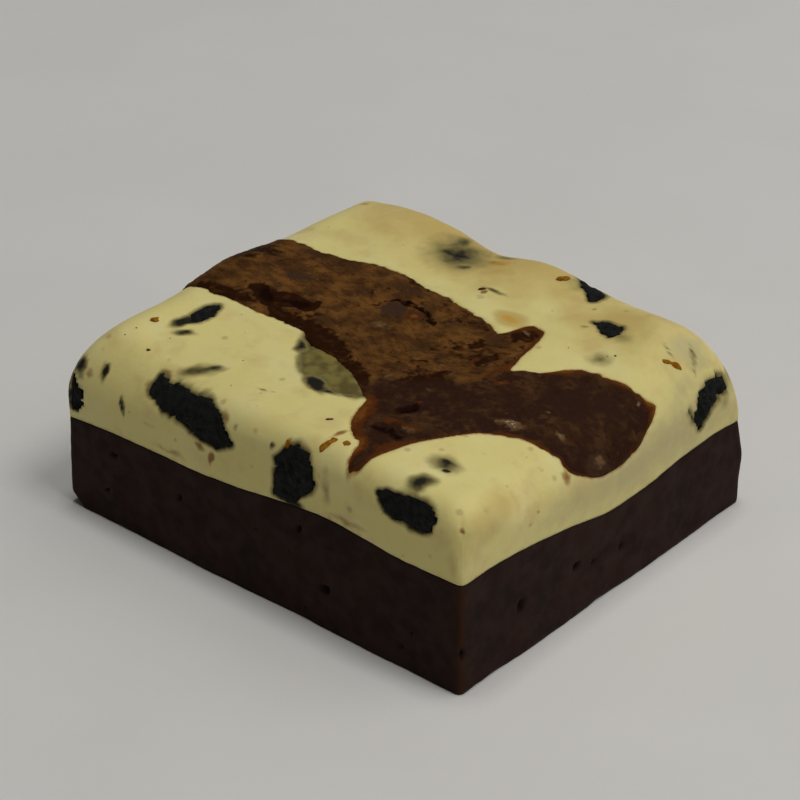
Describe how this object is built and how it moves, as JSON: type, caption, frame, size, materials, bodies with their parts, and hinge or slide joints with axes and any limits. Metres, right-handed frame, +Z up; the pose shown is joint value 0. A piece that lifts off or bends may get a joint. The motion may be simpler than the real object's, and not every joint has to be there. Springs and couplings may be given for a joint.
{
  "type": "cheesecake brownie",
  "caption": "Cut square of dark brownie cake under a thick pale cheesecake layer, with a fudge swirl across the top and broken dark cookie pieces set in the cream.",
  "frame": {"origin": "middle of the underside", "axes": "+X along the longer side of the square, +Y along the shorter side, +Z up"},
  "size_m": [0.0622, 0.0536, 0.0256],
  "materials": {
    "dark_cake": "matt, close crumb with small pits",
    "pale_cream": "satin, slightly translucent baked cream",
    "fudge": "rough film with smoother darker patches",
    "dark_cookie": "matt, broken and crumbly"
  },
  "bodies": {
    "root": {"brownie_base": "dark_cake", "cheesecake_layer": "pale_cream", "fudge_swirl": "fudge", "cookie_piece_01": "dark_cookie", "cookie_piece_02": "dark_cookie", "cookie_piece_03": "dark_cookie", "cookie_piece_04": "dark_cookie", "cookie_piece_05": "dark_cookie", "cookie_piece_06": "dark_cookie", "cookie_piece_07": "dark_cookie", "cookie_piece_08": "dark_cookie", "cookie_piece_09": "dark_cookie", "cookie_piece_10": "dark_cookie", "cookie_piece_11": "dark_cookie"}
  },
  "joints": []
}
